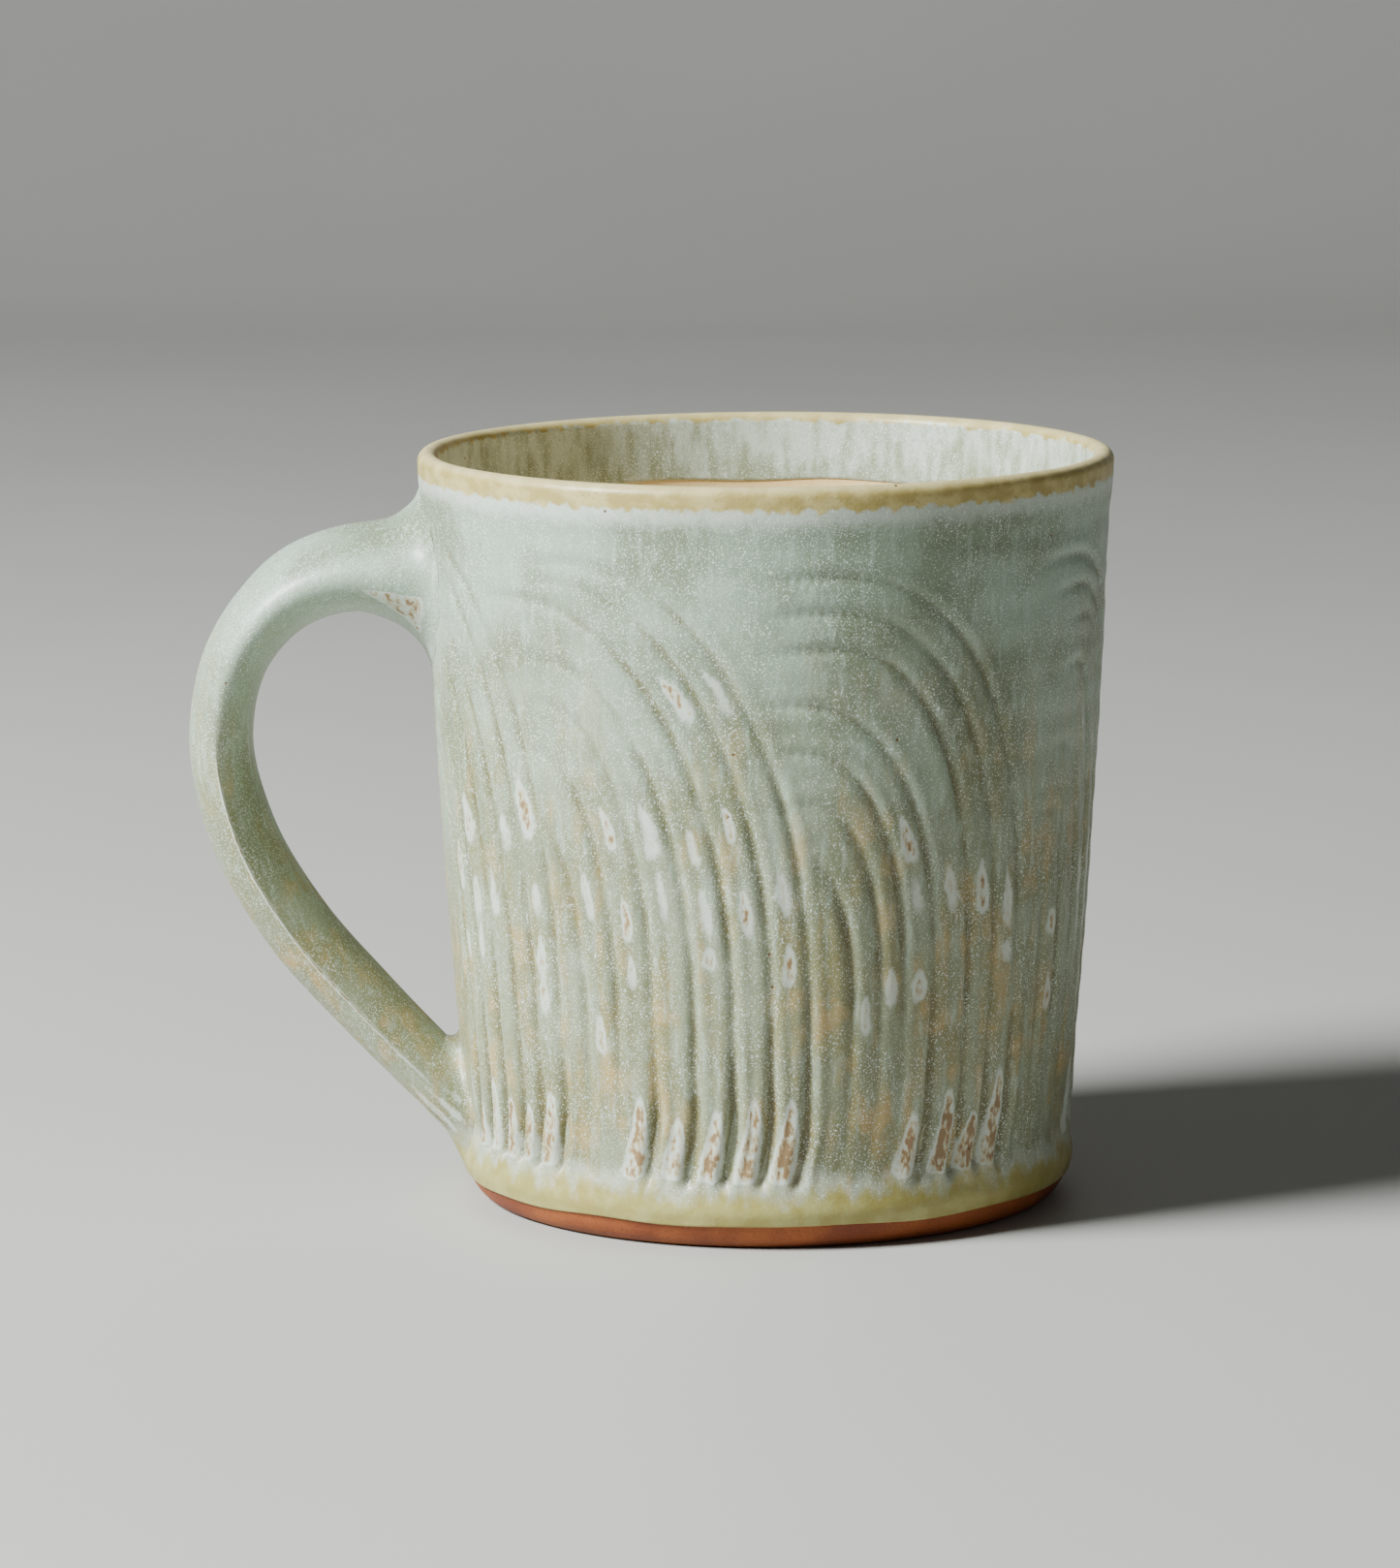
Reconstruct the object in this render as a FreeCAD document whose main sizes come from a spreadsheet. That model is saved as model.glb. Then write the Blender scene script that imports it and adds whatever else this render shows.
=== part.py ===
"""A hand-thrown stoneware mug: a thrown body, a pulled handle set on with two coils of clay, and coats of glaze.

Millimetres. +Z is up the mug's axis, the origin is the centre of the foot's underside, and the handle stands out
along -X. The sizes in the sheet are of the finished, glazed surface; the clay lies one coat of glaze beneath it,
except below the glaze line, where the foot is bare.
"""
import FreeCAD, Part
import os
import Sketcher

Vector = FreeCAD.Vector

SIZES = [
    ("height", 97.4, "top of the lip"),
    ("rim_radius", 45.0, "outside of the lip"),
    ("lip_thickness", 2.7, "wall at the lip, rounded over the top"),
    ("glaze", 0.4, "thickness of every coat of glaze"),
    ("rim_band_z", 94.0, "lower edge of the rim's glaze band, outside"),
    ("middle_z", 51.0, "height at which the wall's bow is set"),
    ("middle_radius", 42.75, "outside wall at middle_z"),
    ("wall_foot_z", 13.0, "where the wall leaves the waist"),
    ("wall_foot_radius", 39.85, "outside wall at wall_foot_z"),
    ("waist_z", 9.5, "narrowest place, above the foot"),
    ("waist_radius", 39.5, "outside of the waist"),
    ("foot_band_z", 7.0, "upper edge of the foot's glaze band"),
    ("foot_band_radius", 39.75, "outside wall at foot_band_z"),
    ("bead_z", 4.8, "widest place of the foot's bead"),
    ("bead_radius", 40.1, "outside of the bead"),
    ("glaze_line_z", 3.4, "the glaze ends here, with bare clay below"),
    ("glaze_line_radius", 39.4, "bare clay at the glaze line"),
    ("bevel_z", 1.1, "middle of the foot's rounded bevel"),
    ("bevel_radius", 38.2, "bare clay at bevel_z"),
    ("foot_radius", 36.5, "flat underside that the mug stands on"),
    ("dip_z", 88.0, "how far down inside the rim's band of glaze reaches"),
    ("dip_radius", 41.9, "inside wall at dip_z"),
    ("inner_middle_radius", 39.35, "inside wall at middle_z"),
    ("inner_foot_z", 16.0, "bottom of the inside wall"),
    ("inner_foot_radius", 35.9, "inside wall at inner_foot_z"),
    ("cove_z", 8.6, "middle of the curve from wall to floor"),
    ("cove_radius", 33.0, "inside surface at cove_z"),
    ("floor_z", 6.0, "inside floor"),
    ("floor_radius", 26.0, "where the floor starts to curve up"),
]

# Cross-sections of the glazed handle from its upper root to its tail: name, centre x and z, thickness, width.
# The first and last lie inside the wall, which trims them to its own surface.
HANDLE = [
    ("root", -39.0, 80.8, 13.2, 25.0),
    ("collar", -46.8, 81.4, 12.0, 24.4),
    ("neck", -53.8, 81.8, 10.6, 23.2),
    ("crown", -61.5, 79.2, 9.6, 22.0),
    ("shoulder", -67.9, 72.3, 8.5, 21.0),
    ("side", -71.0, 60.0, 8.15, 20.0),
    ("belly", -68.7, 47.9, 8.7, 19.4),
    ("shin", -61.6, 35.0, 9.0, 18.8),
    ("calf", -52.9, 25.0, 8.8, 18.2),
    ("tail", -44.4, 16.2, 8.4, 17.6),
    ("end", -34.5, 6.3, 8.4, 17.6),
]

# Cross-sections of the glazed coils that flare the handle into the wall, in the same terms, from the wall out.
UPPER_COIL = [
    ("upper_wall", -39.0, 80.2, 24.2, 31.0),
    ("upper_flare", -45.6, 80.9, 18.4, 28.2),
    ("upper_slope", -49.6, 81.6, 13.8, 25.8),
    ("upper_edge", -53.8, 81.8, 11.3, 23.9),
]
LOWER_COIL = [
    ("lower_wall", -34.5, 6.3, 11.8, 23.4),
    ("lower_flare", -42.2, 14.0, 10.8, 20.8),
    ("lower_edge", -47.6, 19.6, 9.3, 18.7),
]

COAT = "Sizes.glaze"
BARE = "0"
LIP_Z = "Sizes.height - Sizes.lip_thickness / 2"
LIP_CREST_RADIUS = "Sizes.rim_radius - Sizes.lip_thickness / 2"
LIP_INNER_RADIUS = "Sizes.rim_radius - Sizes.lip_thickness"


def make_sheet(document):
    """Puts each driving dimension in column B under its own alias, with its meaning beside it."""
    rows = list(SIZES)
    for name, x, z, thick, wide in HANDLE + UPPER_COIL + LOWER_COIL:
        rows.append((f"{name}_x", x, "centre of this cross-section"))
        rows.append((f"{name}_z", z, "centre of this cross-section"))
        rows.append((f"{name}_thick", thick, "thickness here, across the glaze"))
        rows.append((f"{name}_wide", wide, "width here, across the glaze"))
    sheet = document.addObject("Spreadsheet::Sheet", "Sizes")
    for row, (alias, value, meaning) in enumerate(rows, start=1):
        sheet.set(f"A{row}", alias)
        sheet.set(f"B{row}", str(value))
        sheet.set(f"C{row}", meaning)
        sheet.setAlias(f"B{row}", alias)
    document.recompute()


# Outlines are drawn in the XZ plane. A point is a pair of expressions, for radius and height, and a step is a line
# to a point or an arc through one point to the next. "coat" is how far the outline lies beneath the glaze.


def inset(size, coat):
    """A named size of the outside, less the coat."""
    return f"Sizes.{size} - {coat}"


def outset(size, coat):
    """A named size of the inside, plus the coat."""
    return f"Sizes.{size} + {coat}"


def foot_band_top(coat):
    """The point where the foot's band of glaze meets the coat on the wall."""
    return inset("foot_band_radius", coat), "Sizes.foot_band_z"


def rim_band_foot(coat):
    """The point where the rim's band of glaze meets the coat on the wall."""
    return inset("rim_radius", coat), "Sizes.rim_band_z"


def dip_edge(coat):
    """The point inside where the rim's band of glaze meets the liner."""
    return outset("dip_radius", coat), "Sizes.dip_z"


def floor_centre(coat):
    """The point on the axis at the inside floor."""
    return "0", inset("floor_z", coat)


def bare_foot():
    """Steps from the axis across the flat underside and up the rounded bevel, where there is no glaze."""
    return [
        ("line", ("Sizes.foot_radius", "0")),
        ("arc", ("Sizes.bevel_radius", "Sizes.bevel_z"), ("Sizes.glaze_line_radius", "Sizes.glaze_line_z")),
    ]


def bead(coat):
    """The step over the foot's bead."""
    return [("arc", (inset("bead_radius", coat), "Sizes.bead_z"), foot_band_top(coat))]


def outside_wall(coat):
    """Steps up the waist and the gently bowed outside wall."""
    waist = (inset("waist_radius", coat), "Sizes.waist_z")
    wall_foot = (inset("wall_foot_radius", coat), "Sizes.wall_foot_z")
    middle = (inset("middle_radius", coat), "Sizes.middle_z")
    return [("arc", waist, wall_foot), ("arc", middle, rim_band_foot(coat))]


def lip(coat):
    """Steps from the rim band's foot over the rounded lip and down to the band's edge inside."""
    crest = (LIP_CREST_RADIUS, inset("height", coat))
    return [
        ("line", (inset("rim_radius", coat), LIP_Z)),
        ("arc", crest, (f"{LIP_INNER_RADIUS} + {coat}", LIP_Z)),
        ("line", dip_edge(coat)),
    ]


def inside(coat):
    """Steps from the dip's edge down the inside wall, round the cove and across the floor to the axis."""
    middle = (outset("inner_middle_radius", coat), "Sizes.middle_z")
    wall_foot = (outset("inner_foot_radius", coat), "Sizes.inner_foot_z")
    cove = (outset("cove_radius", coat), inset("cove_z", coat))
    floor_edge = ("Sizes.floor_radius", inset("floor_z", coat))
    return [("arc", middle, wall_foot), ("arc", cove, floor_edge), ("line", floor_centre(coat))]


def backwards(start, steps):
    """The same steps walked from their last point back to start."""
    ends = [start] + [step[-1] for step in steps[:-1]]
    return [step[:-1] + (end,) for step, end in zip(reversed(steps), reversed(ends))]


def coat_outline(glaze_start, clay_start, steps_for):
    """A closed outline along the glaze's surface and back along the clay beneath it."""
    clay_steps = steps_for(COAT)
    outline = steps_for(BARE)
    outline.append(("line", clay_steps[-1][-1]))
    outline += backwards(clay_start, clay_steps)
    outline.append(("line", glaze_start))
    return outline


def bind_point(sketch, geometry, position, point):
    """Ties one point of the sketch to its radius and height."""
    for kind, axis, expression in (("DistanceX", -2, point[0]), ("DistanceY", -1, point[1])):
        if expression == "0":
            sketch.addConstraint(Sketcher.Constraint("PointOnObject", geometry, position, axis))
            continue
        value = float(sketch.evalExpression(expression))
        index = sketch.addConstraint(Sketcher.Constraint(kind, -1, 1, geometry, position, value))
        sketch.setExpression(f"Constraints[{index}]", expression)


def drawn_at(sketch, point):
    """Where a point of an outline lies in the sketch."""
    return Vector(float(sketch.evalExpression(point[0])), float(sketch.evalExpression(point[1])), 0)


def draw_outline(sketch, start, steps):
    """Draws the closed outline that leaves start and comes back to it, each point bound to the sheet."""
    here = start
    edges = []
    for step in steps:
        begin = drawn_at(sketch, here)
        end = drawn_at(sketch, step[-1])
        if step[0] == "line":
            edges.append((sketch.addGeometry(Part.LineSegment(begin, end)), 1, 2))
        else:
            through = drawn_at(sketch, step[1])
            arc = Part.Arc(begin, through, end)
            index = sketch.addGeometry(arc)
            marker = sketch.addGeometry(Part.Point(through), True)
            sketch.addConstraint(Sketcher.Constraint("PointOnObject", marker, 1, index))
            bind_point(sketch, marker, 1, step[1])
            clockwise = (through - begin).cross(end - through).z < 0
            edges.append((index, 2, 1) if clockwise else (index, 1, 2))
        here = step[-1]
    points = [start] + [step[-1] for step in steps[:-1]]
    for number, (index, first, last) in enumerate(edges):
        previous, _, previous_last = edges[number - 1]
        sketch.addConstraint(Sketcher.Constraint("Coincident", previous, previous_last, index, first))
        bind_point(sketch, index, first, points[number])


def turned_body(document, name, start, steps):
    """A body turned about Z from a closed outline in the XZ plane."""
    body = document.addObject("PartDesign::Body", name)
    plane = next(item for item in body.Origin.OriginFeatures if item.Role == "XZ_Plane")
    sketch = body.newObject("Sketcher::SketchObject", f"{name}_outline")
    sketch.AttachmentSupport = [(plane, "")]
    sketch.MapMode = "FlatFace"
    draw_outline(sketch, start, steps)
    turn = body.newObject("PartDesign::Revolution", f"{name}_turn")
    turn.Profile = sketch
    turn.ReferenceAxis = (sketch, ["V_Axis"])
    turn.Angle = 360
    document.recompute()
    return body


def make_thrown_body(document):
    """Wall, floor and foot in one piece of clay."""
    start = ("0", "0")
    steps = bare_foot() + bead(COAT) + outside_wall(COAT) + lip(COAT) + inside(COAT) + [("line", start)]
    return turned_body(document, "thrown_body", start, steps)


def make_clay_envelope(document):
    """The body's clay filled solid to the axis, which trims the clay that is set against the wall."""
    start = ("0", "0")
    crest = (LIP_CREST_RADIUS, inset("height", COAT))
    steps = bare_foot() + bead(COAT) + outside_wall(COAT)
    steps += [("line", (inset("rim_radius", COAT), LIP_Z)), ("line", crest), ("line", ("0", crest[1]))]
    return turned_body(document, "clay_envelope", start, steps + [("line", start)])


def make_wall_coat(document):
    """The coat of glaze on the outside wall, all the way round."""
    outline = coat_outline(foot_band_top(BARE), foot_band_top(COAT), outside_wall)
    return turned_body(document, "wall_coat", foot_band_top(BARE), outline)


def make_rim_glaze_band(document):
    """The band of glaze over the lip, where the outside's glaze was dipped to below the rim."""
    outline = coat_outline(rim_band_foot(BARE), rim_band_foot(COAT), lip)
    return turned_body(document, "rim_glaze_band", rim_band_foot(BARE), outline)


def make_liner_glaze(document):
    """The coat of glaze poured inside, from the dip's edge to the middle of the floor."""
    start = dip_edge(BARE)
    steps = inside(BARE) + [("line", floor_centre(COAT))]
    steps += backwards(dip_edge(COAT), inside(COAT)) + [("line", start)]
    return turned_body(document, "liner_glaze", start, steps)


def make_foot_coat(document):
    """The roll of glaze that ran down to the glaze line, all the way round."""
    clay_edge = ("Sizes.glaze_line_radius", "Sizes.glaze_line_z")
    roll_edge = (f"{clay_edge[0]} + {COAT}", clay_edge[1])
    outline = coat_outline(roll_edge, clay_edge, bead)
    return turned_body(document, "foot_coat", roll_edge, outline)


def lofted_strap(document, name, sections, coat):
    """A strap lofted through elliptical cross-sections square to its run, a coat beneath the glaze."""
    centres = [Vector(x, 0, z) for _, x, z, _, _ in sections]
    run = Part.BSplineCurve()
    run.interpolate(centres)
    ellipses = []
    for (key, *_), centre in zip(sections, centres):
        along = Vector(*run.tangent(run.parameter(centre))[0])
        across = Vector(0, 1, 0)
        ellipse = document.addObject("Part::Ellipse", f"{name}_{key}")
        ellipse.setExpression("MajorRadius", f"Sizes.{key}_wide / 2 - {coat}")
        ellipse.setExpression("MinorRadius", f"Sizes.{key}_thick / 2 - {coat}")
        ellipse.Placement = FreeCAD.Placement(centre, FreeCAD.Rotation(across, along.cross(across), along, "ZXY"))
        ellipse.setExpression("Placement.Base.x", f"Sizes.{key}_x")
        ellipse.setExpression("Placement.Base.z", f"Sizes.{key}_z")
        ellipses.append(ellipse)
    strap = document.addObject("Part::Loft", name)
    strap.Sections = ellipses
    strap.Solid = True
    document.recompute()
    return strap


def cut(document, name, base, tool):
    """What is left of base once tool is taken away."""
    result = document.addObject("Part::Cut", name)
    result.Base = base
    result.Tool = tool
    return result


def fuse(document, name, shapes):
    """Several shapes joined into one."""
    result = document.addObject("Part::MultiFuse", name)
    result.Shapes = shapes
    return result


def make_handle_and_coats(document, clay_envelope, rim_band):
    """The handle, its two coils and the coats that meet them, each trimmed to what it is set against."""
    handle_strap = lofted_strap(document, "handle_strap", HANDLE, COAT)
    upper_strap = lofted_strap(document, "upper_strap", UPPER_COIL, COAT)
    lower_strap = lofted_strap(document, "lower_strap", LOWER_COIL, COAT)
    handle = cut(document, "pulled_handle", handle_strap, clay_envelope)
    beneath_coils = fuse(document, "beneath_coils", [clay_envelope, handle_strap])
    upper_coil = cut(document, "upper_joint_coil", upper_strap, beneath_coils)
    lower_coil = cut(document, "lower_joint_coil", lower_strap, beneath_coils)

    wall_coat = make_wall_coat(document)
    foot_coat = make_foot_coat(document)
    clay_straps = fuse(document, "clay_straps", [handle_strap, upper_strap, lower_strap])
    outer_glaze = cut(document, "outer_glaze", wall_coat, clay_straps)
    foot_band = cut(document, "foot_glaze_band", foot_coat, clay_straps)

    coated_straps = fuse(
        document,
        "coated_straps",
        [
            lofted_strap(document, "handle_coated", HANDLE, BARE),
            lofted_strap(document, "upper_coated", UPPER_COIL, BARE),
            lofted_strap(document, "lower_coated", LOWER_COIL, BARE),
        ],
    )
    beneath = [clay_envelope, wall_coat, foot_coat, rim_band, handle_strap, upper_strap, lower_strap]
    handle_glaze = cut(document, "handle_glaze", coated_straps, fuse(document, "beneath_handle_glaze", beneath))
    return [handle, upper_coil, lower_coil, handle_glaze, outer_glaze, foot_band]


def check(document, pieces):
    """Stops if any object failed to build, or a piece isn't one valid solid."""
    for item in document.Objects:
        if "Invalid" in item.State or "Error" in item.State:
            raise RuntimeError(f"{item.Label} failed: {item.State}")
    for piece in pieces:
        shape = piece.Shape
        if shape.isNull() or not shape.isValid():
            raise RuntimeError(f"{piece.Label} is not a valid shape")
        print(f"{piece.Label:18s} solids {len(shape.Solids)}  volume {shape.Volume:9.1f} mm3")


def main():
    document = FreeCAD.newDocument("mug")
    make_sheet(document)
    clay_envelope = make_clay_envelope(document)
    rim_band = make_rim_glaze_band(document)
    pieces = [make_thrown_body(document), make_liner_glaze(document), rim_band]
    pieces += make_handle_and_coats(document, clay_envelope, rim_band)
    document.recompute()
    check(document, pieces)
    os.makedirs("parts", exist_ok=True)
    for piece in pieces:
        piece.Shape.exportStep(f"parts/{piece.Label}.step")


main()
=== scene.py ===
"""Looks of the hand-thrown stoneware mug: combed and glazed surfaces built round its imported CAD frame.

Shapes are worked out in millimetres and made in metres. An azimuth is an angle round the mug's axis in
degrees: 0 faces the camera, 90 is to its right, and the handle is at -90.
"""

import math

import bpy
import numpy as np
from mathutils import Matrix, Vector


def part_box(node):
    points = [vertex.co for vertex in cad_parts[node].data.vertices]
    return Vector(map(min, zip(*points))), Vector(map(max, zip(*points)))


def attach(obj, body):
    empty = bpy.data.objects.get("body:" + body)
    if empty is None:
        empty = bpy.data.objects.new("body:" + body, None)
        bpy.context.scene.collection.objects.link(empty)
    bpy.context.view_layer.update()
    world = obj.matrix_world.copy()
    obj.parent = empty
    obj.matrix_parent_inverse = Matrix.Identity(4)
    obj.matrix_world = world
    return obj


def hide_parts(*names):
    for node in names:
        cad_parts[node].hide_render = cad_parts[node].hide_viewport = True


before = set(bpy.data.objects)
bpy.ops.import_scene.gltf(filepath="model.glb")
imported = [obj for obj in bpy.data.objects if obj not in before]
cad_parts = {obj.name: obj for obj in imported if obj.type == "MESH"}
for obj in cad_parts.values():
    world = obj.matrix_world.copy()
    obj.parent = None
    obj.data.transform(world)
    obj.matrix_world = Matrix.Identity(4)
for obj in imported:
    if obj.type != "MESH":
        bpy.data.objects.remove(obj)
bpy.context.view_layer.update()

MM = 0.001
FULL_TURN = 360.0


def cad_mm(node, corner, axis):
    """One coordinate of a CAD node's box in millimetres: corner 0 is the lowest and 1 the highest."""
    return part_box(node)[corner][axis] / MM


# Sizes read from the CAD frame.
HEIGHT = cad_mm("rim_glaze_band", 1, 2)
RIM_RADIUS = cad_mm("rim_glaze_band", 1, 0)
DIP_Z = cad_mm("rim_glaze_band", 0, 2)
RIM_BAND_Z = cad_mm("outer_glaze", 1, 2)
FOOT_BAND_Z = cad_mm("foot_glaze_band", 1, 2)
GLAZE_LINE_Z = cad_mm("foot_glaze_band", 0, 2)
HANDLE_AZIMUTH = -90.0

# Sizes that the looks add.
COAT = 0.4        # thickness of a coat of glaze
SLACK = 0.02      # keeps two surfaces from lying in the same place
HEADROOM = 0.25   # how far the wall lies inside the CAD's wall, to leave room for its ridges
UNDERCUT = 1.3    # how deep the hidden back of an outside coat lies
LIP_ROUND = 1.32  # radius of the lip's round edge
LIP_RADIUS = RIM_RADIUS - LIP_ROUND
LIP_Z = HEIGHT - LIP_ROUND
COLUMNS = 720     # points round the outside of the mug, then round its liner and round its clay
LINER_COLUMNS = 360
CLAY_COLUMNS = 480
MEAN_RADIUS = 42.5
MM_PER_DEGREE = 2 * math.pi * MEAN_RADIUS / FULL_TURN


# ---- curves

def smooth_step(value, start, end):
    """0 before start, 1 after end and a smooth ramp between."""
    share = np.clip((value - start) / (end - start), 0.0, 1.0)
    return share * share * (3.0 - 2.0 * share)


def bump_at(value, centre, width):
    """A bell of height 1 at centre."""
    return np.exp(-((value - centre) / width) ** 2)


def angle_from(azimuth, centre):
    """How far an azimuth is from another, between -180 and 180."""
    return (azimuth - centre + FULL_TURN / 2) % FULL_TURN - FULL_TURN / 2


def curve_through(knots, places):
    """A smooth curve read at places. Its knots are rows whose first number is the place along it."""
    knots = np.array(knots, float)
    along = knots[:, 0]
    values = knots[:, 1:]
    slopes = np.gradient(values, along, axis=0)
    places = np.clip(places, along[0], along[-1])
    span = np.clip(np.searchsorted(along, places, side="right") - 1, 0, len(along) - 2)
    gap = (along[span + 1] - along[span])[:, None]
    t = ((places - along[span]) / gap[:, 0])[:, None]
    start, end = values[span], values[span + 1]
    return (
        (1 + 2 * t) * (1 - t) ** 2 * start
        + t * (1 - t) ** 2 * gap * slopes[span]
        + t * t * (3 - 2 * t) * end
        + t * t * (t - 1) * gap * slopes[span + 1]
    )


def lengths_along(points):
    """How far along a line each of its points lies."""
    steps = np.linalg.norm(np.diff(points, axis=0), axis=1)
    return np.concatenate([[0.0], np.cumsum(steps)])


def path_through(points, count):
    """count evenly spaced points on a smooth curve through a list of points."""
    points = np.array(points, float)
    along = lengths_along(points)
    dense = curve_through(np.column_stack([along, points]), np.linspace(0, along[-1], 12 * len(points)))
    length = lengths_along(dense)
    wanted = np.linspace(0, length[-1], count)
    return np.column_stack([np.interp(wanted, length, dense[:, axis]) for axis in range(points.shape[1])])


def wander(azimuth, size, seed, turns=range(2, 9)):
    """An uneven line round the mug that meets itself, within about size of zero."""
    draw = np.random.default_rng(seed)
    total = np.zeros_like(azimuth)
    for turn in turns:
        total += np.sin(np.radians(azimuth) * turn + draw.uniform(0, 2 * math.pi)) / math.sqrt(turn)
    return size * total / math.sqrt(len(turns) / 2)


def hand_wobble(azimuth, z, size, seed):
    """Slow unevenness of a hand-thrown wall."""
    draw = np.random.default_rng(seed)
    total = 0.0
    for _ in range(7):
        turn = draw.integers(2, 7)
        rise = draw.uniform(-0.09, 0.09)
        total = total + np.sin(np.radians(azimuth) * turn + z * rise + draw.uniform(0, 2 * math.pi))
    return size * total / 3.0


# Outside of the glazed wall, height and radius, from the glaze line to where the lip starts to round over.
OUTSIDE = [
    (3.4, 39.70), (4.8, 40.02), (7.0, 39.72), (9.5, 39.45), (13.0, 39.75), (20.0, 40.42), (31.0, 41.35),
    (41.0, 42.10), (51.0, 42.72), (69.0, 43.65), (85.0, 44.45), (94.0, 44.90), (96.1, 45.00),
]
# Inside of the mug, radius and height, from the middle of the floor up to the lip.
INSIDE = [
    (0.0, 6.05), (12.0, 6.0), (24.0, 6.1), (30.0, 7.1), (33.4, 10.0), (35.4, 15.0),
    (36.6, 24.0), (38.2, 38.0), (39.4, 51.0), (40.6, 66.0), (41.9, 88.0), (42.35, 96.1),
]
# Bare clay outside, radius and height, from the foot's edge up to the glaze line.
BARE_FOOT = [(36.5, 0.0), (37.4, 0.35), (38.2, 1.1), (38.85, 2.1), (39.35, 3.2), (39.5, 4.2)]


def outside_radius(z):
    """Radius of the glazed wall at a height, before the comb."""
    shape = np.shape(z)
    return curve_through(OUTSIDE, np.ravel(z))[:, 0].reshape(shape)


def inside_radius(z):
    """Radius of the glazed inside at a height above its floor."""
    wall = [(height, radius) for radius, height in INSIDE[3:]]
    shape = np.shape(z)
    return curve_through(wall, np.ravel(z))[:, 0].reshape(shape)


def bare_radius(z):
    """Radius of the bare clay at a height below the glaze line."""
    shape = np.shape(z)
    heights = [height for _, height in BARE_FOOT]
    radii = [radius for radius, _ in BARE_FOOT]
    return np.interp(np.ravel(z), heights, radii).reshape(shape)


def glaze_line(azimuth):
    """Height of the wavy edge where the glaze stops above the bare foot."""
    return GLAZE_LINE_Z + wander(azimuth, 0.26, seed=11, turns=range(3, 16))


def dip_edge(azimuth):
    """Height inside of the wavy edge that the outer glaze was dipped to, over the lip."""
    return DIP_Z + 0.5 + wander(azimuth, 0.62, seed=5, turns=range(2, 14))


# ---- comb marks

# One pass of the comb is a list of teeth: azimuth and height of the crest, and the azimuth it falls to.
FRONT_LEFT = [
    (-34, 87.0, 7.4), (-38, 84.5, 0.8), (-44, 82.0, -6.0), (-40, 74.5, -13.0),
    (-40, 69.0, -20.5), (-42, 62.5, -27.5), (-45, 55.0, -34.0),
]
FRONT_RIGHT = [
    (10, 86.0, 50.0), (10, 81.5, 44.0), (10, 77.0, 38.0), (4, 70.0, 30.7),
    (5, 64.0, 24.5), (7, 57.5, 20.0), (5, 50.5, 15.0),
]
RIGHT_EDGE = [
    (60, 86.0, 94.0), (64, 82.0, 88.0), (68, 78.0, 82.0), (66, 72.0, 75.5),
    (62, 62.0, 69.5), (58, 54.0, 63.5), (54, 46.0, 57.5),
]
BY_HANDLE = [
    (-78, 88.0, -40.0), (-80, 85.5, -46.0), (-82, 80.0, -51.5),
    (-82, 76.0, -57.5), (-84, 68.0, -63.5), (-84, 60.0, -69.0),
]
# The seen passes, with the squareness of their turn and how many of their teeth were pressed in at the foot.
SEEN_PASSES = [(FRONT_LEFT, 2.08, 5), (FRONT_RIGHT, 2.3, 4), (RIGHT_EDGE, 2.4, 3), (BY_HANDLE, 2.2, 6)]
HIDDEN_FALLS = (138.0, 182.0, 226.0, 262.0)  # where the first tooth of each hidden pass falls
HIDDEN_SQUARENESS = 2.2
LIGHT_HEEL = 0.12  # how hard a tooth that was lifted early presses at the foot
# Blades of glaze worn thin between grooves on the front, by bands: height of the middle, shortest and longest
# blade, and the share of the gaps that have one.
BLADE_BANDS = [
    (72.0, 6.0, 10.0, 0.2), (54.0, 5.0, 9.0, 0.45), (44.5, 5.0, 9.0, 0.85), (36.5, 3.5, 7.0, 0.6),
    (28.0, 3.5, 7.0, 0.25),
]
# Worn patches beside the grooves that fall outside FRONT: height and its spread, shortest and longest reach,
# and least and most worn.
WORN_ELSEWHERE = [
    (24.0, 4.0, 2.5, 5.0, -0.4, 0.6), (37.0, 3.0, 2.5, 5.5, -0.1, 1.05), (48.0, 4.0, 3.0, 8.0, 0.1, 1.15),
    (62.0, 5.0, 3.0, 6.0, -0.5, 0.85),
]
FRONT = (-80.0, 64.0)  # teeth that fall between these azimuths have no patches
TOOTH_PITCH = 6.2      # degrees between neighbouring teeth of a hidden pass
FALL_Z = 30.0          # below this height a tooth runs straight down
HOOK_Z = 18.0          # below this height it swings aside
COMB_END_Z = 8.2       # where the comb was lifted off
RUN_IN = 13.0          # degrees that a tooth travels before its crest
TOOTH_STEP = 0.7       # spacing of the points along a tooth's line
COMB_REACH = 4.0       # how far from its line a tooth still counts


def hidden_pass(fall, seed):
    """A pass of the comb on the back of the mug, laid out as the front ones are, with the same unevenness."""
    draw = np.random.default_rng(seed)
    teeth = []
    for tooth in range(7):
        crest = fall - 41 + draw.uniform(-4, 4) + (6 if tooth == 3 else 0)
        top = 87.0 - 3.6 * tooth - 0.35 * tooth * tooth + draw.uniform(-1.5, 1.5)
        teeth.append((crest, top, fall - TOOTH_PITCH * tooth + draw.uniform(-0.7, 0.7)))
    return teeth


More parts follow.
